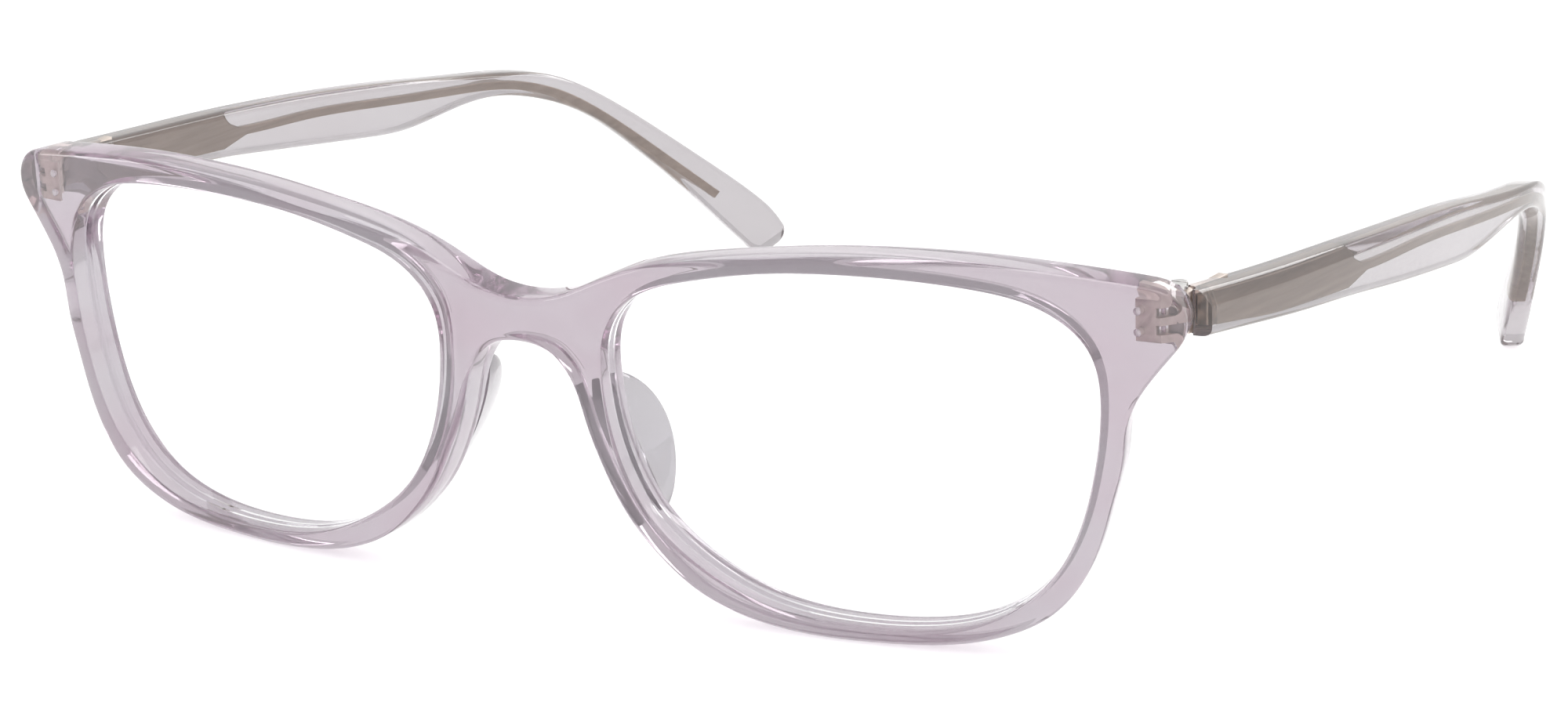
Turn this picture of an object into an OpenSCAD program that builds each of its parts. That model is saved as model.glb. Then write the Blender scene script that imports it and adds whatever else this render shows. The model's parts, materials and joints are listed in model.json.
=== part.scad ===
// Spectacles for screen use: a clear acetate front and temples on a titanium core, hinged to fold.
// The model is drawn with the front upright and the bridge at the middle, then laid down in rest
// stance, where the rims and the temple tips stand on a table. X is across the face, the wearer's
// left is +X, Y runs back to the temple tips, and Z is up.

/* [Front] */
// Width of one lens opening
lens_w = 51.6; // [50:0.1:53]
// Height of one lens opening
lens_h = 36.8; // [35:0.1:38]
// Gap between the two lens openings, at their nearest
bridge_w = 18.8; // [18:0.1:20]
// Thickness of the acetate front
front_t = 4.8; // [4:0.1:5]
// Radius of the front's curve across the face
front_r = 262; // [220:1:300]
// Depth of the groove that holds the lens
groove_d = 0.6; // [0.4:0.1:0.8]
// Thickness of a lens
lens_t = 1.6; // [1.4:0.1:2.0]

/* [Temples] */
// Thickness of a temple at the hinge
temple_t = 4.2; // [3.8:0.1:4.6]
// Thickness of a temple at its tip
tip_t = 3.0; // [2.8:0.1:3.6]
// Thickness of the titanium core
core_t = 1.2; // [1.0:0.1:1.4]
// Height of the core's wire behind its plate
wire_h = 1.0; // [0.8:0.1:1.4]

/* [Hinges] */
// Distance of a hinge axis from the middle of the bridge
hinge_x = 66.8; // [66.4:0.1:67]
// Radius of a hinge knuckle
knuckle_r = 1.3; // [1.2:0.05:1.4]
// Height of one of the five knuckles
knuckle_h = 0.8; // [0.7:0.05:0.9]
// Radius of the hinge screw's shank
screw_r = 0.6; // [0.5:0.05:0.7]

/* [Hidden] */

$fn = 48;
eps = 0.01;
smooth = 4;            // straight steps between two points of an outline

// Rest stance: the rims' lowest line and the tips' lowest line stand on the table.
rim_foot = [-0.12, -19.85];
tip_foot = [137.9, -28.8];
rest_tilt = atan2(rim_foot[1] - tip_foot[1], tip_foot[0] - rim_foot[0]);
rest_lift = -(rim_foot[0] * sin(rest_tilt) + rim_foot[1] * cos(rest_tilt));
rest_shift = -69.1;

// Hinge stack, with its middle at half the height of the temple's front end.
hinge_y = 12.0;
hinge_z = 15.1;
butt_gap = 0.1;        // between the front and the temple's front end
knuckle_gap = 0.05;
knuckle_pitch = knuckle_h + knuckle_gap;
stack_h = 5 * knuckle_h + 4 * knuckle_gap;
recess_r = knuckle_r + 0.3;
bore_r = screw_r + 0.03;
head_r = 0.9;
head_h = 0.8;
slot_w = 0.3;
slot_d = 0.35;

// Embedded leaf of the front hinge.
leaf_x = 63.9;
leaf_y = 8.8;
leaf_w = 2.1;
leaf_t = 0.9;
leaf_h = 4.2;
stud_r = 0.4;
stud_l = 1.0;

// Leaf of the temple hinge, against the inner face of the core.
temple_leaf = [13.9, 20.4];
temple_leaf_t = 1.0;
temple_leaf_h = 3.2;
temple_leaf_z = 14.9;
rivet_r = 0.5;

// Nose pad: a crescent fin, as [back, up] from its root, leaning out with the rim and splayed
// to the sides of the nose.
pad_t = 2.0;
pad_root = [6.9, 0, -3.4];
pad_lean = 21;
pad_splay = 10;
pad_pts = [[0, 8], [3.6, 5.6], [5.8, 1.5], [6, -3], [4.2, -6.2], [0, -7.4], [-3, 0]];

// ---- outlines ----

// Opening of the wearer's left lens, about its own middle: half width and half height are 1.
opening_pts = [[0.97, -0.03], [1.0, 0.33], [0.96, 0.67], [0.81, 0.865], [0.525, 0.97],
               [0.08, 1.0], [-0.315, 0.965], [-0.61, 0.885], [-0.82, 0.78], [-0.965, 0.565],
               [-0.99, 0.25], [-0.935, -0.15], [-0.81, -0.49], [-0.6, -0.745],
               [-0.32, -0.925], [0.04, -0.99], [0.35, -0.965], [0.62, -0.845],
               [0.81, -0.61], [0.92, -0.305]];

// Outer edge of the front's left half, from the bridge's top middle round to its bottom middle.
outer_pts = [[0, 12.5], [4.3, 13.1], [8.5, 14.9], [12.2, 16.5], [18, 18.1], [25, 19.2],
             [33, 20.1], [41, 20.5], [50, 20.4], [58, 19.8], [64.9, 19.0], [68, 18.0],
             [69.1, 16.3], [69, 14], [67.8, 12.1], [65.8, 9.5], [63.6, 5.4], [63, 1.1],
             [62, -3.1], [60.7, -7.6], [58.9, -11.6], [56, -15.2], [51.7, -17.7],
             [46.2, -19.2], [38.5, -19.8], [31, -19.7], [24.6, -18.7], [19.1, -16.5],
             [14.9, -13.2], [11.4, -9.1], [9, -4.5], [7.3, 0], [5.9, 4.3], [3.6, 7],
             [0, 7.8]];

// Side view of a temple: upper edge, then lower edge, as [y, z].
temple_top = [[10.8, 17.6], [27, 15.4], [43, 13.4], [60, 11.0], [77, 8.2], [90, 5.7],
              [101, 3.6], [108.5, 1.4], [114.5, -1.9], [121, -6.8], [129, -13.8],
              [136, -20.4], [138.6, -23.5]];
tip_round = [[140, -26], [139.7, -27.9], [137.9, -28.8], [135.6, -28.1]];
temple_bottom = [[132, -23.8], [127, -17.9], [121, -11.5], [115, -6], [109, -2.4],
                 [104, -0.4], [98, 1.2], [91, 1.8], [84, 1.7], [78, 1.8], [72, 2.6], [64, 4],
                 [54, 5.8], [43, 7.8], [32, 9.5], [20, 11.5], [10.8, 13.0]];

// Top view of a temple's mid-thickness, as [y, x].
temple_mid = [[8, 67.7], [27, 69.2], [43, 69.9], [60, 69.9], [77, 69.2], [96.5, 68.1],
              [112.6, 64.5], [128, 57.6], [143, 49.3], [147, 47]];

// Core in side view: its plate ends in a notch above and a chamfer below, and its wire runs on.
plate_top = [[14.4, 16.4], [27, 14.6], [43, 12.7]];
plate_bottom = [[47, 10.5], [47.3, 9.5], [42.7, 8.9], [27, 11.1], [14.4, 13.4]];
wire_mid = [[43, 10.6], [50, 9.6], [60, 8.5], [77, 5.9], [90, 3.9], [101, 1.9],
            [109, -1.1], [118, -7.4], [124.5, -13.3], [131, -19.5]];

// Point t of the way from b to c on the smooth curve through a, b, c and d.
function smooth_pt(a, b, c, d, t) =
    0.5 * (2 * b + (c - a) * t + (2 * a - 5 * b + 4 * c - d) * t * t
           + (3 * b - a - 3 * c + d) * t * t * t);

// Smooth closed curve through p, with n steps between two points.
function closed_curve(p, n) =
    let (m = len(p))
    [for (i = [0 : m - 1], k = [0 : n - 1])
        smooth_pt(p[(i + m - 1) % m], p[i], p[(i + 1) % m], p[(i + 2) % m], k / n)];

// Smooth open curve through p, with n steps between two points.
function open_curve(p, n) =
    let (m = len(p) - 1)
    [for (i = [0 : m - 1], k = [0 : n - (i == m - 1 ? 0 : 1)])
        smooth_pt(p[max(i - 1, 0)], p[i], p[i + 1], p[min(i + 2, m)], k / n)];

function unit(v) = v / norm(v);

// Closed loop q moved outwards by d; the loop runs anticlockwise.
function grown(q, d) =
    let (m = len(q))
    [for (i = [0 : m - 1])
        let (along = unit(q[(i + 1) % m] - q[(i + m - 1) % m]))
        q[i] + d * [along[1], -along[0]]];

// Open line q moved to its right-hand side by d(i) = from d0 at its start to d1 at its end.
function beside(q, d0, d1) =
    let (m = len(q) - 1)
    [for (i = [0 : m])
        let (along = unit(q[min(i + 1, m)] - q[max(i - 1, 0)]), d = d0 + (d1 - d0) * i / m)
        q[i] + d * [along[1], -along[0]]];

function reversed(q) = [for (i = [len(q) - 1 : -1 : 0]) q[i]];

lens_cx = (bridge_w + lens_w) / 2;
opening = closed_curve([for (p = opening_pts) [lens_cx + p[0] * lens_w / 2, p[1] * lens_h / 2]],
                       smooth);
outer_half = open_curve(outer_pts, smooth);
outer = concat(outer_half, [for (i = [len(outer_half) - 2 : -1 : 1])
                            [-outer_half[i][0], outer_half[i][1]]]);

// ---- shared shapes ----

// Lays the upright model down in rest stance.
module in_stance() {
    translate([0, rest_shift, rest_lift])
        rotate([rest_tilt, 0, 0])
            children();
}

// The wearer's left side is drawn, and the right side is its mirror image.
module on_side(side) {
    in_stance()
        if (side == "left")
            children();
        else
            mirror([1, 0, 0])
                children();
}

// Curved sheet of the front's curve between two depths about its middle surface.
module curved_sheet(front, back) {
    translate([0, front_r, -30])
        difference() {
            cylinder(r = front_r - front, h = 60, $fn = 240);
            translate([0, 0, -1])
                cylinder(r = front_r - back, h = 62, $fn = 240);
        }
}

// Outline in X and Z, cut from the front's sheet between two depths.
module sheet_piece(points, front, back) {
    intersection() {
        rotate([90, 0, 0])
            translate([0, 0, -30])
                linear_extrude(40)
                    polygon(points);
        curved_sheet(front, back);
    }
}

// Side profile [y, z] of a temple piece, as a prism across the temple.
module side_prism(points) {
    translate([40, 0, 0])
        rotate([90, 0, 90])
            linear_extrude(40)
                polygon(points);
}

plan_line = [for (p = open_curve(temple_mid, smooth)) [p[1], p[0]]];

// Layer along the temple's top view, between two lines beside its middle.
module plan_layer(inner, outer) {
    translate([0, 0, -45])
        linear_extrude(80)
            polygon(concat(outer, reversed(inner)));
}

// Knuckles of the hinge stack with the given numbers, counted from the bottom, with arms.
module knuckles(numbers, arm) {
    for (n = numbers)
        translate([0, 0, hinge_z - stack_h / 2 + n * knuckle_pitch])
            difference() {
                union() {
                    translate([hinge_x, hinge_y, 0])
                        cylinder(r = knuckle_r, h = knuckle_h);
                    linear_extrude(knuckle_h)
                        polygon(arm);
                }
                translate([hinge_x, hinge_y, -eps])
                    cylinder(r = bore_r, h = knuckle_h + 2 * eps);
            }
}

// Room round the knuckles, and above them for the screw's head.
module hinge_recess() {
    translate([hinge_x, hinge_y, hinge_z - stack_h / 2 - 0.3])
        cylinder(r = recess_r, h = stack_h + 10);
}

front_arm = [[leaf_x + 1, leaf_y], [leaf_x + 2.6, leaf_y], [hinge_x + 0.9, hinge_y - 0.9],
             [hinge_x - 0.9, hinge_y + 0.9], [leaf_x + 1, leaf_y + leaf_t]];

module front_leaf() {
    translate([leaf_x, leaf_y, hinge_z - leaf_h / 2])
        cube([leaf_w, leaf_t, leaf_h]);
}

module front_stud_row(r) {
    for (z = [-1, 1])
        translate([leaf_x + 0.55, leaf_y - stud_l, hinge_z + z * leaf_h / 4])
            rotate([-90, 0, 0])
                cylinder(r = r, h = stud_l + leaf_t);
}

leaf_line = beside(plan_line, -core_t / 2, -core_t / 2);
temple_arm = [[hinge_x + 0.3, hinge_y - 1.2], [hinge_x + 1.25, hinge_y], [67.55, 14.6],
              [66.6, 14.6], [hinge_x - 0.9, hinge_y + 0.9]];

module temple_leaf_block() {
    intersection() {
        translate([60, temple_leaf[0], temple_leaf_z - temple_leaf_h / 2])
            cube([12, temple_leaf[1] - temple_leaf[0], temple_leaf_h]);
        plan_layer(beside(leaf_line, -temple_leaf_t, -temple_leaf_t), leaf_line);
    }
}

module temple_rivet_row() {
    for (y = [16.2, 19])
        translate([66.9, y, temple_leaf_z])
            rotate([0, 90, 0])
                cylinder(r = rivet_r, h = temple_leaf_t + core_t / 2);
}

core_profile = concat(open_curve(plate_top, smooth), plate_bottom);
wire_line = open_curve(wire_mid, smooth);
wire_profile = concat(beside(wire_line, wire_h / 2, wire_h / 2),
                      reversed(beside(wire_line, -wire_h / 2, -wire_h / 2)));

module core_body() {
    intersection() {
        union() {
            side_prism(core_profile);
            side_prism(wire_profile);
        }
        plan_layer(beside(plan_line, -core_t / 2, -core_t / 2),
                   beside(plan_line, core_t / 2, core_t / 2));
    }
}

module pad_body() {
    intersection() {
        translate(pad_root)
            rotate([0, -pad_lean, 0])
                rotate([0, 0, -pad_splay])
                    rotate([90, 0, 90])
                        linear_extrude(pad_t)
                            polygon(closed_curve(pad_pts, smooth));
        translate([0, front_r, -30])
            cylinder(r = front_r - front_t / 2, h = 60, $fn = 240);
    }
}

// ---- nodes ----

module front_frame() {
    color("thistle")
        in_stance()
            difference() {
                sheet_piece(outer, -front_t / 2, front_t / 2);
                for (side = [0, 1])
                    mirror([side, 0, 0]) {
                        rotate([90, 0, 0])
                            translate([0, 0, -30])
                                linear_extrude(40)
                                    polygon(opening);
                        sheet_piece(grown(opening, groove_d), -0.5, 0.5);
                        hinge_recess();
                        front_leaf();
                        front_stud_row(stud_r);
                        knuckle_room();
                    }
            }
}

// Room in the endpiece for the front knuckles' arms.
module knuckle_room() {
    translate([0, 0, hinge_z - stack_h / 2])
        linear_extrude(stack_h)
            polygon(front_arm);
}

module lens(side) {
    color("aliceblue", 0.4)
        on_side(side)
            union() {
                sheet_piece(opening, -lens_t / 2, lens_t / 2);
                sheet_piece(grown(opening, groove_d), -0.4, 0.4);
            }
}

module nose_pad(side) {
    color("lavenderblush")
        on_side(side)
            pad_body();
}

module front_hinge(side) {
    color("silver")
        on_side(side)
            difference() {
                union() {
                    front_leaf();
                    knuckles([0, 2, 4], front_arm);
                }
                front_stud_row(stud_r);
            }
}

module front_studs(side) {
    color("gainsboro")
        on_side(side)
            front_stud_row(stud_r);
}

module hinge_screw(side) {
    color("dimgray")
        on_side(side)
            translate([hinge_x, hinge_y, hinge_z - stack_h / 2])
                difference() {
                    union() {
                        cylinder(r = screw_r, h = stack_h + eps);
                        translate([0, 0, stack_h])
                            cylinder(r = head_r, h = head_h);
                    }
                    translate([-2, -slot_w / 2, stack_h + head_h - slot_d])
                        cube([4, slot_w, 1]);
                }
}

module temple(side) {
    color("lavender")
        on_side(side)
            difference() {
                intersection() {
                    side_prism(concat(open_curve(temple_top, smooth), tip_round,
                                      open_curve(temple_bottom, smooth)));
                    plan_layer(beside(plan_line, -temple_t / 2, -tip_t / 2),
                               beside(plan_line, temple_t / 2, tip_t / 2));
                    translate([0, front_r, -45])
                        cylinder(r = front_r - front_t / 2 - butt_gap, h = 80, $fn = 240);
                }
                core_body();
                temple_leaf_block();
                temple_rivet_row();
                hinge_recess();
                translate([0, 0, hinge_z - stack_h / 2 - 0.3])
                    linear_extrude(stack_h + 10)
                        polygon(temple_arm);
            }
}

module temple_core(side) {
    color("tan")
        on_side(side)
            difference() {
                core_body();
                temple_rivet_row();
            }
}

module temple_hinge(side) {
    color("silver")
        on_side(side)
            difference() {
                union() {
                    temple_leaf_block();
                    knuckles([1, 3], temple_arm);
                }
                temple_rivet_row();
            }
}

module temple_rivets(side) {
    color("gainsboro")
        on_side(side)
            temple_rivet_row();
}

front_frame();
lens("left");  // lens_left
lens("right");  // lens_right
nose_pad("left");  // nose_pad_left
nose_pad("right");  // nose_pad_right
front_hinge("left");  // front_hinge_left
front_hinge("right");  // front_hinge_right
front_studs("left");  // front_studs_left
front_studs("right");  // front_studs_right
hinge_screw("left");  // hinge_screw_left
hinge_screw("right");  // hinge_screw_right
temple("left");  // temple_left
temple("right");  // temple_right
temple_core("left");  // temple_core_left
temple_core("right");  // temple_core_right
temple_hinge("left");  // temple_hinge_left
temple_hinge("right");  // temple_hinge_right
temple_rivets("left");  // temple_rivets_left
temple_rivets("right");  // temple_rivets_right
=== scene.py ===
"""Blue light glasses: the looks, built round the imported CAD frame.

Shapes are drawn in millimetres on the upright spectacles, with the middle of the bridge at the
origin, X to the wearer's left, Y back to the temple tips and Z up. One matrix, read from the
frame's hinge, then lays them down where the CAD part rests.
"""
import json
import math

import bmesh
import bpy
import numpy as np
from mathutils import Matrix, Vector
from mathutils.geometry import delaunay_2d_cdt


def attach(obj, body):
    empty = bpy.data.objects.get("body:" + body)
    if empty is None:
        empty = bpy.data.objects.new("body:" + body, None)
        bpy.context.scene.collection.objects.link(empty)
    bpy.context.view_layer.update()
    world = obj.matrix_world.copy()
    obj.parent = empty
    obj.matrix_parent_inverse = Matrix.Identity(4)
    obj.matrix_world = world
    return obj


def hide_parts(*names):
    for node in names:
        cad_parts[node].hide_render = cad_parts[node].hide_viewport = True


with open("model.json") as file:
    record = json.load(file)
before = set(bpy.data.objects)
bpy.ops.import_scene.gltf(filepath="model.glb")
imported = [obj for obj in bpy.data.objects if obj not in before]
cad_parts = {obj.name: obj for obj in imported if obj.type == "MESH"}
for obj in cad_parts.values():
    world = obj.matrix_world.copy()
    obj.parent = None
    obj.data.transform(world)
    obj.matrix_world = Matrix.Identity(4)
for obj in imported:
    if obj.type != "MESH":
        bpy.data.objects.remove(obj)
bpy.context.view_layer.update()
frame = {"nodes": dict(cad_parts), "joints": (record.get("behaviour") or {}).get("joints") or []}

nodes = frame["nodes"]
MM = 0.001

# ---- driving sizes, in millimetres, as in the CAD source ----

LENS_W, LENS_H, BRIDGE_W = 51.6, 36.8, 18.8
FRONT_T, FRONT_R = 4.8, 262.0
GROOVE_D, GROOVE_W = 0.6, 1.0
TEMPLE_T, TIP_T, CORE_T, WIRE_H = 4.2, 3.0, 1.2, 1.0
HINGE = (66.8, 12.0, 15.1)
RECESS_R, STACK_H, BUTT_GAP = 1.6, 4.2, 0.1
SHARP_ANGLE = 35.0  # degrees between two faces, from which their edge is drawn sharp

OPENING = [(0.97, -0.03), (1.0, 0.33), (0.96, 0.67), (0.81, 0.865), (0.525, 0.97),
           (0.08, 1.0), (-0.315, 0.965), (-0.61, 0.885), (-0.82, 0.78), (-0.965, 0.565),
           (-0.99, 0.25), (-0.935, -0.15), (-0.81, -0.49), (-0.6, -0.745),
           (-0.32, -0.925), (0.04, -0.99), (0.35, -0.965), (0.62, -0.845),
           (0.81, -0.61), (0.92, -0.305)]
OUTER_HALF = [(0, 12.5), (4.3, 13.1), (8.5, 14.9), (12.2, 16.5), (18, 18.1), (25, 19.2),
              (33, 20.1), (41, 20.5), (50, 20.4), (58, 19.8), (64.9, 19.0), (68, 18.0),
              (69.1, 16.3), (69, 14), (67.8, 12.1), (65.8, 9.5), (63.6, 5.4), (63, 1.1),
              (62, -3.1), (60.7, -7.6), (58.9, -11.6), (56, -15.2), (51.7, -17.7),
              (46.2, -19.2), (38.5, -19.8), (31, -19.7), (24.6, -18.7), (19.1, -16.5),
              (14.9, -13.2), (11.4, -9.1), (9, -4.5), (7.3, 0), (5.9, 4.3), (3.6, 7),
              (0, 7.8)]
TEMPLE_TOP = [(10.8, 17.6), (27, 15.4), (43, 13.4), (60, 11.0), (77, 8.2), (90, 5.7),
              (101, 3.6), (108.5, 1.4), (114.5, -1.9), (121, -6.8), (129, -13.8),
              (136, -20.4), (138.6, -23.5), (139.6, -25.2)]
TEMPLE_BOTTOM = [(10.8, 13.0), (20, 11.5), (32, 9.5), (43, 7.8), (54, 5.8), (64, 4),
                 (72, 2.6), (78, 1.8), (84, 1.7), (91, 1.8), (98, 1.2), (104, -0.4),
                 (109, -2.4), (115, -6), (121, -11.5), (127, -17.9), (132, -23.8),
                 (135.2, -27.6)]
TEMPLE_MID = [(8, 67.7), (27, 69.2), (43, 69.9), (60, 69.9), (77, 69.2), (96.5, 68.1),
              (112.6, 64.5), (128, 57.6), (143, 49.3), (147, 47)]
PLATE_TOP = [(14.4, 16.4), (27, 14.6), (43, 12.7)]
PLATE_END = [(44.2, 11.5), (45.8, 10.7)]
PLATE_BOTTOM = [(42.7, 8.9), (27, 11.1), (14.4, 13.4)]
WIRE_MID = [(43, 10.6), (50, 9.6), (60, 8.5), (77, 5.9), (90, 3.9), (101, 1.9),
            (109, -1.1), (118, -7.4), (124.5, -13.3), (131, -19.5)]
WIRE_START = (47, 47.3)  # Y where the wire's upper and lower edges leave the plate

# Camera, on the upright spectacles: turn, tilt and roll in degrees, distance and aim in mm.
CAMERA = {"turn": 30.15, "tilt": 18.38, "roll": -2.47, "distance": 480.0,
          "aim": (25.46, 5.33), "lens": 108.35}

# ---- where the CAD part rests ----

left_fold = next(j for j in frame["joints"] if j["name"] == "left_temple_fold")
rest_tilt = math.atan2(-left_fold["axis"][1], left_fold["axis"][2])
stance = (Matrix.Translation(Vector(left_fold["pos_m"]))
          @ Matrix.Rotation(rest_tilt, 4, "X")
          @ Matrix.Translation(-Vector(HINGE) * MM))
stance_np = np.array(stance)

# ---- curves ----


def spline_slopes(t, p, closed):
    """Slopes at points p, met at parameters t, of the smooth cubic curve through them."""
    n = len(p)
    h = np.diff(t)
    a = np.zeros((n, n))
    b = np.zeros((n, p.shape[1]))
    for i in range(n):
        if closed or 0 < i < n - 1:
            before, after = p[i - 1], p[(i + 1) % n]
            h0, h1 = h[i - 1], h[i]
            a[i, i - 1] += h1
            a[i, i] += 2 * (h0 + h1)
            a[i, (i + 1) % n] += h0
            b[i] = 3 * (h1 * (p[i] - before) / h0 + h0 * (after - p[i]) / h1)
        else:
            k = 0 if i == 0 else n - 2
            a[i, i] = 2
            a[i, 1 if i == 0 else n - 2] = 1
            b[i] = 3 * (p[k + 1] - p[k]) / h[k]
    return np.linalg.solve(a, b)


def smooth_curve(points, count, closed=False):
    """count points, evenly spaced, on the smooth curve through the given points."""
    fine_steps = 24
    p = np.array(points, float)
    q = np.vstack([p, p[:1]]) if closed else p
    t = np.concatenate([[0], np.cumsum(np.linalg.norm(np.diff(q, axis=0), axis=1))])
    m = spline_slopes(t, p, closed)
    m = np.vstack([m, m[:1]]) if closed else m
    fine = np.linspace(0, t[-1], fine_steps * len(q))
    i = np.clip(np.searchsorted(t, fine, "right") - 1, 0, len(q) - 2)
    h = (t[i + 1] - t[i])[:, None]
    s = (fine - t[i])[:, None] / h
    c = (q[i] * (1 + 2 * s) * (1 - s) ** 2 + m[i] * h * s * (1 - s) ** 2
         + q[i + 1] * s * s * (3 - 2 * s) - m[i + 1] * h * s * s * (1 - s))
    along = np.concatenate([[0], np.cumsum(np.linalg.norm(np.diff(c, axis=0), axis=1))])
    want = np.linspace(0, along[-1], count + (1 if closed else 0))
    want = want[:-1] if closed else want
    return np.stack([np.interp(want, along, c[:, k]) for k in range(p.shape[1])], 1)


def anticlockwise(loop):
    x, y = loop[:, 0], loop[:, 1]
    area = np.sum(x * np.roll(y, -1) - np.roll(x, -1) * y)
    return loop if area > 0 else loop[::-1].copy()


def outward(loop):
    """Unit normals of a closed anticlockwise loop, pointing out of it."""
    d = np.roll(loop, -1, 0) - np.roll(loop, 1, 0)
    return np.stack([d[:, 1], -d[:, 0]], 1) / np.linalg.norm(d, axis=1)[:, None]


def inside(points, loop):
    """Whether each point is inside the closed loop."""
    x, y = points[:, 0][:, None], points[:, 1][:, None]
    x0, y0 = loop[:, 0], loop[:, 1]
    x1, y1 = np.roll(x0, -1), np.roll(y0, -1)
    rise = np.where(y1 == y0, 1e-12, y1 - y0)
    crosses = ((y0 > y) != (y1 > y)) & (x < (x1 - x0) * (y - y0) / rise + x0)
    return crosses.sum(1) % 2 == 1


def rounded_edge(thickness, front_r, back_r, steps=5, middle=()):
    """Edge profile from the front face to the back: how far in from the outline, and depth."""
    half = thickness / 2
    turn = [math.pi / 2 * k / steps for k in range(steps + 1)]
    front = [(front_r * (1 - math.sin(a)), -half + front_r * (1 - math.cos(a))) for a in turn]
    back = [(back_r * (1 - math.cos(a)), half - back_r * (1 - math.sin(a))) for a in turn]
    return front + list(middle) + back


# ---- meshes ----


def make_object(name, points, faces, sharp=SHARP_ANGLE):
    """Mesh object from points in mm on the upright spectacles, laid down in rest stance."""
    p = np.c_[np.asarray(points, float) * MM, np.ones(len(points))] @ stance_np.T
    mesh = bpy.data.meshes.new(name)
    mesh.from_pydata(p[:, :3].tolist(), [], [tuple(int(i) for i in f) for f in faces])
    tidy = bmesh.new()
    tidy.from_mesh(mesh)
    bmesh.ops.remove_doubles(tidy, verts=tidy.verts, dist=1e-7)
    bmesh.ops.recalc_face_normals(tidy, faces=tidy.faces)
    tidy.to_mesh(mesh)
    tidy.free()
    mesh.shade_smooth()
    mesh.set_sharp_from_angle(angle=math.radians(sharp))
    obj = bpy.data.objects.new(name, mesh)
    bpy.context.scene.collection.objects.link(obj)
    return obj


def ring_quads(rings):
    """Quads between neighbouring rings of vertex numbers."""
    quads = []
    for a, b in zip(rings[:-1], rings[1:]):
        count = len(a)
        for i in range(count):
            j = (i + 1) % count
            quads.append((a[i], a[j], b[j], b[i]))
    return quads


def fill(outer, holes, step):
    """Triangles between an outer loop and holes, with inner points about a step apart."""
    row_pitch = step * 0.87
    clearance = step * 0.55
    loops = [outer] + holes
    lo, hi = outer.min(0), outer.max(0)
    gx, gy = np.meshgrid(np.arange(lo[0], hi[0], step), np.arange(lo[1], hi[1], row_pitch))
    gx[1::2] += step / 2
    grid = np.stack([gx.ravel(), gy.ravel()], 1)
    grid = grid[inside(grid, outer)]
    for hole in holes:
        grid = grid[~inside(grid, hole)]
    border = np.vstack(loops)
    far = [np.min(np.linalg.norm(border - g, axis=1)) > clearance for g in grid]
    grid = grid[np.array(far, bool)] if len(grid) else grid
    points = np.vstack([border, grid]) if len(grid) else border
    edges = []
    first = 0
    for loop in loops:
        n = len(loop)
        edges += [(first + i, first + (i + 1) % n) for i in range(n)]
        first += n
    verts, _, faces, *_ = delaunay_2d_cdt([Vector(p) for p in points], edges, [], 1, 1e-6)
    if len(verts) != len(points):
        raise RuntimeError("an outline crosses itself")
    centres = np.array([np.mean([points[i] for i in f], axis=0) for f in faces])
    keep = inside(centres, outer)
    for hole in holes:
        keep &= ~inside(centres, hole)
    return grid, [f for f, k in zip(faces, keep) if k]


def slab(name, outer, holes, place, outer_edge, hole_edge, step=2.5):
    """Solid sheet with shaped edges. place(u, v, depth) puts a flat point in space."""
    outer = anticlockwise(np.asarray(outer, float))
    holes = [anticlockwise(np.asarray(h, float)) for h in holes]
    points, faces, ends = [], [], []
    for loop, edge, sign in [(outer, outer_edge, -1)] + [(h, hole_edge, 1) for h in holes]:
        normal = outward(loop)
        rings, flats = [], []
        for inset, depth in edge:
            flat = loop + sign * normal * inset
            rings.append(list(range(len(points), len(points) + len(loop))))
            points.extend(place(flat[:, 0], flat[:, 1], np.full(len(loop), depth)))
            flats.append(flat)
        faces += ring_quads(rings)
        ends.append((rings[0], flats[0], rings[-1], flats[-1]))
    for side, depth in ((0, outer_edge[0][1]), (2, outer_edge[-1][1])):
        numbers = [i for end in ends for i in end[side]]
        grid, triangles = fill(ends[0][side + 1], [end[side + 1] for end in ends[1:]], step)
        if len(grid):
            numbers += range(len(points), len(points) + len(grid))
            points.extend(place(grid[:, 0], grid[:, 1], np.full(len(grid), depth)))
        faces += [tuple(numbers[i] for i in t) for t in triangles]
    return make_object(name, points, faces)


def loft(name, sections, sharp=SHARP_ANGLE):
    """Skin over closed sections with the same number of points, closed at both ends."""
    count = len(sections[0])
    points = np.vstack(sections)
    rings = [list(range(k * count, (k + 1) * count)) for k in range(len(sections))]
    faces = ring_quads(rings) + [tuple(rings[0]), tuple(rings[-1])]
    return make_object(name, points, faces, sharp)


def finished(obj, material, body, slot, *replaced):
    """Gives a piece its material and the body it rides on, and hides the CAD nodes it stands for."""
    obj.data.materials.clear()
    obj.data.materials.append(material)
    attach(obj, body)
    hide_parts(*replaced)


def apply_modifiers(obj):
    """Turns obj's modifiers into its mesh, and marks its sharp edges again."""
    bpy.context.view_layer.update()
    obj.data = bpy.data.meshes.new_from_object(
        obj.evaluated_get(bpy.context.evaluated_depsgraph_get()))
    obj.modifiers.clear()
    obj.data.set_sharp_from_angle(angle=math.radians(SHARP_ANGLE))


def cut(obj, cutter):
    """Takes the cutter's volume out of obj, and removes the cutter."""
    boolean = obj.modifiers.new("cut", "BOOLEAN")
    boolean.operation = "DIFFERENCE"
    boolean.solver = "EXACT"
    boolean.object = cutter
    apply_modifiers(obj)
    bpy.data.objects.remove(cutter)


# ---- materials ----


def new_material(name):
    """Empty node material, with its tree, its output and its Principled shader."""
    material = bpy.data.materials.new(name)
    material.use_nodes = True
    tree = material.node_tree
    return material, tree, tree.nodes["Material Output"], tree.nodes["Principled BSDF"]


def add(tree, kind, **settings):
    """New node, with each setting given to the socket of that name or else to the node."""
    node = tree.nodes.new(kind)
    for key, value in settings.items():
        if key in node.inputs:
            node.inputs[key].default_value = value
        else:
            setattr(node, key, value)
    return node


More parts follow.
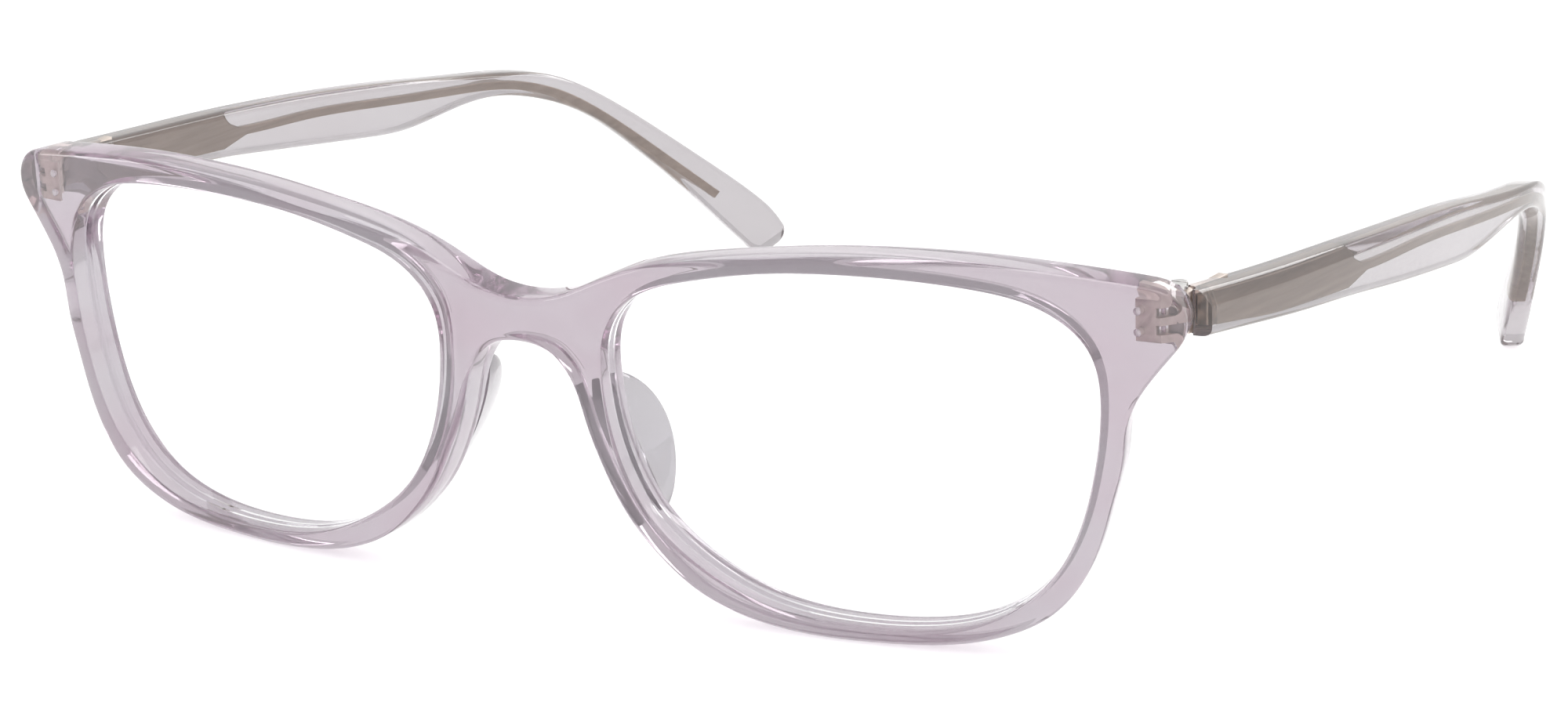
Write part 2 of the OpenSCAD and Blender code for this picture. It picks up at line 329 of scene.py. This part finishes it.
def noise(tree, scale, detail=3.0, stretch=(1, 1, 1)):
    """Noise in the object's own space, with a stretch per axis."""
    where = add(tree, "ShaderNodeTexCoord")
    mapping = add(tree, "ShaderNodeMapping")
    mapping.inputs["Scale"].default_value = stretch
    texture = add(tree, "ShaderNodeTexNoise", Scale=scale, Detail=detail)
    tree.links.new(where.outputs["Object"], mapping.inputs["Vector"])
    tree.links.new(mapping.outputs["Vector"], texture.inputs["Vector"])
    return texture.outputs["Fac"]


def ramp(tree, source, low, high, start=0.35, end=0.65):
    """Colour that runs from low to high as the source goes from start to end."""
    node = add(tree, "ShaderNodeValToRGB")
    node.color_ramp.elements[0].position = start
    node.color_ramp.elements[1].position = end
    node.color_ramp.elements[0].color = (*low, 1)
    node.color_ramp.elements[1].color = (*high, 1)
    tree.links.new(source, node.inputs["Fac"])
    return node.outputs["Color"]


def remap(tree, source, low, high):
    """Value that runs from low to high as the source goes from 0 to 1."""
    node = add(tree, "ShaderNodeMapRange")
    node.inputs["To Min"].default_value = low
    node.inputs["To Max"].default_value = high
    tree.links.new(source, node.inputs["Value"])
    return node.outputs["Result"]


def bump(tree, source, strength, distance):
    node = add(tree, "ShaderNodeBump", Strength=strength, Distance=distance)
    tree.links.new(source, node.inputs["Height"])
    return node.outputs["Normal"]


def let_light_by(tree, output, shader, tint):
    """Links the shader to the output, with shadow rays let through in the given tint."""
    rays = add(tree, "ShaderNodeLightPath")
    open_way = add(tree, "ShaderNodeBsdfTransparent", Color=(*tint, 1))
    mix = add(tree, "ShaderNodeMixShader")
    tree.links.new(rays.outputs["Is Shadow Ray"], mix.inputs["Fac"])
    tree.links.new(shader.outputs["BSDF"], mix.inputs[1])
    tree.links.new(open_way.outputs["BSDF"], mix.inputs[2])
    tree.links.new(mix.outputs["Shader"], output.inputs["Surface"])


def acetate(name, pale, pink, absorb, density, clear):
    """Polished clear acetate: streaked tint at the surface and a colour that deepens inside.

    clear is the share of light that passes; the rest is the faint milkiness of the sheet.
    """
    material, tree, output, shader = new_material(name)
    shader.inputs["Transmission Weight"].default_value = clear
    shader.inputs["IOR"].default_value = 1.49
    streaks = noise(tree, 60, 2.0, (1.0, 1.0, 2.2))
    tree.links.new(ramp(tree, streaks, pale, pink), shader.inputs["Base Color"])
    polish = noise(tree, 900, 4.0)
    tree.links.new(remap(tree, polish, 0.0, 0.05), shader.inputs["Roughness"])
    ripple = noise(tree, 260, 2.0)
    tree.links.new(bump(tree, ripple, 0.08, 0.0002), shader.inputs["Normal"])
    volume = add(tree, "ShaderNodeVolumeAbsorption", Color=(*absorb, 1), Density=density)
    tree.links.new(volume.outputs["Volume"], output.inputs["Volume"])
    let_light_by(tree, output, shader, (0.98, 0.97, 0.977))
    return material


def lens_resin(name):
    """Clear coated lens: nearly all see-through, with a faint cool mirror that grows at a graze."""
    material, tree, output, shader = new_material(name)
    shader.inputs["Base Color"].default_value = (0.99, 0.995, 1.0, 1)
    shader.inputs["Transmission Weight"].default_value = 1.0
    shader.inputs["IOR"].default_value = 1.08
    smear = noise(tree, 70, 4.0)
    tree.links.new(remap(tree, smear, 0.0, 0.03), shader.inputs["Roughness"])
    let_light_by(tree, output, shader, (0.97, 0.975, 0.98))
    return material


def metal(name, dark, light, rough, brushed=(1, 1, 1), grain=900.0):
    """Metal with a grain: brushed stretches it, and both colour and roughness follow it."""
    material, tree, _, shader = new_material(name)
    shader.inputs["Metallic"].default_value = 1.0
    lines = noise(tree, grain, 5.0, brushed)
    tree.links.new(ramp(tree, lines, dark, light, 0.3, 0.7), shader.inputs["Base Color"])
    tree.links.new(remap(tree, lines, rough - 0.08, rough + 0.12), shader.inputs["Roughness"])
    tree.links.new(bump(tree, lines, 0.25, 0.00003), shader.inputs["Normal"])
    return material


front_acetate = acetate("front_acetate", (0.56, 0.56, 0.57), (0.55, 0.515, 0.54),
                        (0.54, 0.10, 0.40), 48.0, 0.86)
temple_acetate = acetate("temple_acetate", (0.50, 0.485, 0.495), (0.49, 0.47, 0.48),
                         (0.80, 0.45, 0.66), 14.0, 0.9)
pad_acetate = acetate("pad_acetate", (0.535, 0.52, 0.54), (0.525, 0.505, 0.52),
                      (0.80, 0.40, 0.62), 14.0, 0.75)
lens_clear = lens_resin("lens_clear")
core_titanium = metal("core_titanium", (0.35, 0.275, 0.22), (0.49, 0.39, 0.315), 0.30,
                      (1.0, 0.03, 1.0), 1400.0)
hinge_metal = metal("hinge_metal", (0.64, 0.55, 0.49), (0.80, 0.70, 0.63), 0.32)
rivet_metal = metal("rivet_metal", (0.84, 0.82, 0.80), (0.93, 0.92, 0.91), 0.18)
screw_steel = metal("screw_steel", (0.52, 0.51, 0.50), (0.74, 0.73, 0.72), 0.20)

# ---- front and lenses ----

SIDES = {"left": 1, "right": -1}
OPENING_STEPS, OUTER_STEPS = 220, 520


def on_front(sign=1):
    """Place on the front's curved sheet, mirrored for the wearer's right."""
    def place(x, z, depth):
        slant = x / FRONT_R
        middle = FRONT_R - np.sqrt(FRONT_R ** 2 - x ** 2)
        return np.stack([sign * (x - depth * slant), middle + depth * np.sqrt(1 - slant ** 2), z], 1)
    return place


lens_middle = (BRIDGE_W + LENS_W) / 2
opening = [(lens_middle + x * LENS_W / 2, z * LENS_H / 2) for x, z in OPENING]
opening_loop = smooth_curve(opening, OPENING_STEPS, closed=True)
outer_points = OUTER_HALF + [(-x, z) for x, z in OUTER_HALF[-2:0:-1]]
outer_loop = smooth_curve(outer_points, OUTER_STEPS, closed=True)
mirrored_opening = opening_loop[::-1] * [-1, 1]


def recess(sign, name):
    """Cutter for the room round a hinge: a round hole up along the hinge axis."""
    steps = 48
    turn = np.linspace(0, 2 * math.pi, steps + 1)[:-1]
    circle = np.stack([sign * HINGE[0] + RECESS_R * np.cos(turn),
                       HINGE[1] + RECESS_R * np.sin(turn)], 1)
    low = HINGE[2] - STACK_H / 2 - 0.3
    above_all = low + 15
    return loft(name, [np.c_[circle, np.full(steps, z)] for z in (low, above_all)])


def build_front():
    """Front with softly rounded edges, a lens groove in each opening and room for the hinges."""
    groove = [(0.0, -GROOVE_W / 2), (GROOVE_D, -0.08), (GROOVE_D, 0.08), (0.0, GROOVE_W / 2)]
    front = slab("front_frame_polished", outer_loop, [opening_loop, mirrored_opening], on_front(),
                 rounded_edge(FRONT_T, 0.8, 0.65), rounded_edge(FRONT_T, 0.35, 0.45, 4, groove))
    for sign in SIDES.values():
        cut(front, recess(sign, "front_recess"))
    finished(front, front_acetate, "front", "front_acetate", "front_frame")


def build_lens(side, sign):
    """Lens whose ridge stands in the groove, just clear of the front all round."""
    clearance = 0.02
    ridge = GROOVE_D - 0.06
    bevel = [(0.0, -0.8), (0.0, -0.42), (-ridge, -0.05), (-ridge, 0.05), (0.0, 0.42), (0.0, 0.8)]
    edge = [(inset + clearance, depth) for inset, depth in bevel]
    lens = slab(f"lens_{side}_coated", opening_loop, [], on_front(sign), edge, [])
    finished(lens, lens_clear, "front", "lens_clear", f"lens_{side}")


# ---- nose pads ----

PAD_ROOT = [(7.2, 4.0), (7.9, 1.6), (9.1, -1.6), (10.6, -4.8), (12.1, -7.6), (13.4, -9.8)]
PAD_DEPTH = 6.0
PAD_SPLAY = math.radians(10)
PAD_HALF_T = 1.15
PAD_GAP = 0.03         # between a pad and the front's back face
PAD_STATIONS = 40


def build_pad(side, sign):
    """Pad as a loft along its root: each section is a fin that swells to the pad's middle."""
    root = smooth_curve(PAD_ROOT, PAD_STATIONS)
    along = np.gradient(root, axis=0)
    along /= np.linalg.norm(along, axis=1)[:, None]
    sections = []
    for k, (point, direction) in enumerate(zip(root, along)):
        share = k / (len(root) - 1)
        swell = math.sin(math.pi * min(max(share, 0.004), 0.996) ** 0.85) ** 0.62
        depth = PAD_DEPTH * swell
        half = PAD_HALF_T * (0.35 + 0.65 * swell)
        turn = np.linspace(0, math.pi, 19)
        across = half * np.sign(np.cos(turn)) * np.abs(np.cos(turn)) ** 0.7
        back = depth * np.sin(turn) ** 0.85
        across = np.r_[across, across[-1], across[0]]
        back = np.r_[back, 0, 0] + PAD_GAP
        shift = across + back * math.tan(PAD_SPLAY)
        x = point[0] - direction[1] * shift
        z = point[1] + direction[0] * shift
        section = on_front(sign)(x, z, np.full(len(x), FRONT_T / 2))
        section[:, 1] += back
        sections.append(section)
    pad = loft(f"nose_pad_{side}_polished", sections, 50)
    finished(pad, pad_acetate, "front", "pad_acetate", f"nose_pad_{side}")


# ---- temples and their cores ----

temple_plan = smooth_curve(TEMPLE_MID, 200)
TEMPLE_STATIONS = 170
CORNER_R = 1.0
FRONT_BEVEL, TIP_BEVEL = 1.5, 0.25
TIP_REACH = 2.2        # length of the rounded end


def plan_x(y):
    return np.interp(y, temple_plan[:, 0], temple_plan[:, 1])


def plan_normal(y):
    """Unit vector across a temple in its top view, pointing away from the head."""
    slope = plan_x(y + 0.5) - plan_x(y - 0.5)
    size = np.sqrt(1 + slope ** 2)
    return 1 / size, -slope / size


def rounded_section(half_t, half_h, radius, bevel):
    """Section of a temple, across and up, with round corners and a bevelled outer top edge."""
    corners = [(-half_t, -half_h, radius), (half_t, -half_h, radius),
               (half_t, half_h - bevel, radius * 0.6), (half_t - bevel * 0.75, half_h, radius * 0.6),
               (-half_t, half_h, radius)]
    points = []
    n = len(corners)
    for i, (x, y, r) in enumerate(corners):
        here = np.array([x, y])
        a = np.array(corners[i - 1][:2]) - here
        b = np.array(corners[(i + 1) % n][:2]) - here
        length_a, length_b = np.linalg.norm(a), np.linalg.norm(b)
        a, b = a / length_a, b / length_b
        half_angle = math.acos(max(-1.0, min(1.0, float(a @ b)))) / 2
        reach = min(r / math.tan(half_angle), 0.45 * length_a, 0.45 * length_b)
        start, end = here + a * reach, here + b * reach
        for t in np.linspace(0, 1, 6):
            points.append((1 - t) ** 2 * start + 2 * t * (1 - t) * here + t * t * end)
    return np.array(points)


def build_temple(side, sign):
    """Temple as a loft from its front end to its tip, closed by a rounded end."""
    top = smooth_curve(TEMPLE_TOP, TEMPLE_STATIONS)
    bottom = smooth_curve(TEMPLE_BOTTOM, TEMPLE_STATIONS)
    sections = []
    for k in range(TEMPLE_STATIONS):
        share = k / (TEMPLE_STATIONS - 1)
        up = top[k] - bottom[k]
        height = np.linalg.norm(up)
        thickness = TEMPLE_T + (TIP_T - TEMPLE_T) * share
        bevel = TIP_BEVEL + (FRONT_BEVEL - TIP_BEVEL) * (1 - min(1.0, share * 1.3))
        section = rounded_section(thickness / 2, height / 2, CORNER_R, bevel)
        sections.append(temple_ring(section, (top[k] + bottom[k]) / 2, up / height, sign))
    centre = (top[-1] + bottom[-1]) / 2
    up = (top[-1] - bottom[-1]) / height
    ahead = np.array([up[1], -up[0]])
    for turn in np.linspace(0, math.pi / 2, 12)[1:]:
        width = max(math.cos(turn), 0.05)
        section = rounded_section(TIP_T / 2 * width ** 0.8, height / 2 * width, 0.9 * width,
                                  TIP_BEVEL * width)
        end = centre + ahead * TIP_REACH * math.sin(turn)
        sections.append(temple_ring(section, end, up, sign))
    temple = loft(f"temple_{side}_polished", sections, 28)
    cut(temple, recess(sign, "temple_recess"))
    cut(temple, front_clearance())
    finished(temple, temple_acetate, f"temple_arm_{side}", "temple_acetate", f"temple_{side}")


def front_clearance():
    """Cutter that ends a temple just behind the front's back face."""
    reach, ahead = 74, -5
    x = np.linspace(-reach, reach, 75)
    back = on_front()(x, np.zeros(len(x)), np.full(len(x), FRONT_T / 2 + BUTT_GAP))
    outline = np.vstack([back[:, :2], [[reach, ahead], [-reach, ahead]]])
    low, high = 5, 25
    return loft("front_clearance",
                [np.c_[outline, np.full(len(outline), z)] for z in (low, high)])


def temple_ring(section, centre, up, sign):
    """Section points, across and up, put round a centre (y, z) on the temple's plan curve."""
    y = centre[0] + section[:, 1] * up[0]
    z = centre[1] + section[:, 1] * up[1]
    nx, ny = plan_normal(y)
    return np.stack([sign * (plan_x(y) + section[:, 0] * nx), y + section[:, 0] * ny, z], 1)


def on_temple(sign):
    """Place on the temple's middle surface, from its side view."""
    def place(y, z, depth):
        nx, ny = plan_normal(y)
        return np.stack([sign * (plan_x(y) + depth * nx), y + depth * ny, z], 1)
    return place


def build_core(side, sign):
    """Core as one flat outline on the temple's middle surface: a plate, then a wire behind it."""
    chamfer = 0.12
    half = CORE_T / 2
    wire = smooth_curve(WIRE_MID, 150)
    along = np.gradient(wire, axis=0)
    along /= np.linalg.norm(along, axis=1)[:, None]
    across = np.stack([-along[:, 1], along[:, 0]], 1)
    above = wire + across * WIRE_H / 2
    below = wire - across * WIRE_H / 2
    above = above[above[:, 0] > WIRE_START[0]]
    below = below[below[:, 0] > WIRE_START[1]]
    outline = np.vstack([smooth_curve(PLATE_TOP, 40), smooth_curve(PLATE_END, 4), above,
                         below[::-1], smooth_curve(PLATE_BOTTOM, 40)])
    edge = [(chamfer, -half), (0.0, -half + chamfer), (0.0, half - chamfer), (chamfer, half)]
    core = slab(f"temple_core_{side}_brushed", outline, [], on_temple(sign), edge, [], 1.6)
    finished(core, core_titanium, f"temple_arm_{side}", "core_titanium", f"temple_core_{side}")


# ---- hinge hardware ----


def build_bevelled(name, body, material, slot, bevel):
    """CAD piece with its sharp edges broken by a small bevel."""
    mesh = nodes[name].data.copy()
    obj = bpy.data.objects.new(f"{name}_finished", mesh)
    bpy.context.scene.collection.objects.link(obj)
    tidy = bmesh.new()
    tidy.from_mesh(mesh)
    bmesh.ops.remove_doubles(tidy, verts=tidy.verts, dist=1e-6)
    bmesh.ops.dissolve_limit(tidy, angle_limit=math.radians(1), verts=tidy.verts, edges=tidy.edges)
    tidy.to_mesh(mesh)
    tidy.free()
    edges = obj.modifiers.new("edges", "BEVEL")
    edges.width = bevel * MM
    edges.segments = 2
    edges.limit_method = "ANGLE"
    edges.angle_limit = math.radians(SHARP_ANGLE)
    mesh.shade_smooth()
    apply_modifiers(obj)
    finished(obj, material, body, slot, name)


build_front()
for side, sign in SIDES.items():
    build_lens(side, sign)
    build_pad(side, sign)
    build_temple(side, sign)
    build_core(side, sign)
    build_bevelled(f"front_hinge_{side}", "front", hinge_metal, "hinge_metal", 0.08)
    build_bevelled(f"front_studs_{side}", "front", rivet_metal, "rivet_metal", 0.06)
    build_bevelled(f"hinge_screw_{side}", "front", screw_steel, "screw_steel", 0.06)
    build_bevelled(f"temple_hinge_{side}", f"temple_arm_{side}", hinge_metal, "hinge_metal", 0.08)
    build_bevelled(f"temple_rivets_{side}", f"temple_arm_{side}", rivet_metal, "rivet_metal", 0.06)

# ---- studio ----


def build_floor():
    mesh = bpy.data.meshes.new("floor")
    half = 6.0
    mesh.from_pydata([(-half, -half, 0), (half, -half, 0), (half, half, 0), (-half, half, 0)],
                     [], [(0, 1, 2, 3)])
    floor = bpy.data.objects.new("floor", mesh)
    bpy.context.scene.collection.objects.link(floor)
    material, tree, _, shader = new_material("floor_paper")
    shader.inputs["Roughness"].default_value = 0.9
    paper = noise(tree, 40, 3.0)
    tree.links.new(ramp(tree, paper, (0.96, 0.96, 0.96), (0.98, 0.98, 0.98)),
                   shader.inputs["Base Color"])
    floor.data.materials.append(material)


def build_light(name, place, size, power):
    """Area light that faces the spectacles."""
    aim = Vector((0, 0, 0.02))
    light = bpy.data.lights.new(name, "AREA")
    light.shape = "RECTANGLE"
    light.size, light.size_y = size
    light.energy = power
    lamp = bpy.data.objects.new(name, light)
    lamp.location = place
    lamp.rotation_euler = (aim - Vector(place)).to_track_quat("-Z", "Y").to_euler()
    bpy.context.scene.collection.objects.link(lamp)


def build_world():
    world = bpy.data.worlds.new("studio")
    world.use_nodes = True
    background = world.node_tree.nodes["Background"]
    background.inputs["Color"].default_value = (1, 1, 1, 1)
    background.inputs["Strength"].default_value = 1.0
    bpy.context.scene.world = world


def build_camera():
    """Camera at the stated turn, tilt and roll about the spectacles, at its distance and aim."""
    turn, tilt, roll = (math.radians(CAMERA[k]) for k in ("turn", "tilt", "roll"))
    back = Vector((math.sin(turn) * math.cos(tilt), -math.cos(turn) * math.cos(tilt),
                   math.sin(tilt)))
    level = Vector((math.cos(turn), math.sin(turn), 0))
    upright = back.cross(level)
    right = math.cos(roll) * level + math.sin(roll) * upright
    up = math.cos(roll) * upright - math.sin(roll) * level
    place = (CAMERA["aim"][0] * right + CAMERA["aim"][1] * up + CAMERA["distance"] * back) * MM
    pose = Matrix((right, up, back)).transposed().to_4x4()
    pose.translation = place
    data = bpy.data.cameras.new("camera")
    data.lens = CAMERA["lens"]
    data.sensor_width = 36.0
    data.clip_start = 0.01
    camera = bpy.data.objects.new("camera", data)
    camera.matrix_world = stance @ pose
    bpy.context.scene.collection.objects.link(camera)
    bpy.context.scene.camera = camera


build_floor()
build_world()
build_light("top_softbox", (0.0, 0.1, 0.95), (0.9, 0.5), 3.2)
build_light("left_strip", (-0.85, -0.35, 0.42), (0.12, 0.6), 1.0)
build_light("right_strip", (0.8, -0.5, 0.45), (0.12, 0.6), 1.0)
build_light("back_strip", (0.15, 0.95, 0.5), (0.9, 0.1), 1.0)
build_camera()

scene = bpy.context.scene
scene.view_settings.view_transform = "Standard"
scene.cycles.max_bounces = 32
scene.cycles.transmission_bounces = 32
scene.cycles.transparent_max_bounces = 32
scene.cycles.glossy_bounces = 12

bpy.context.view_layer.update()
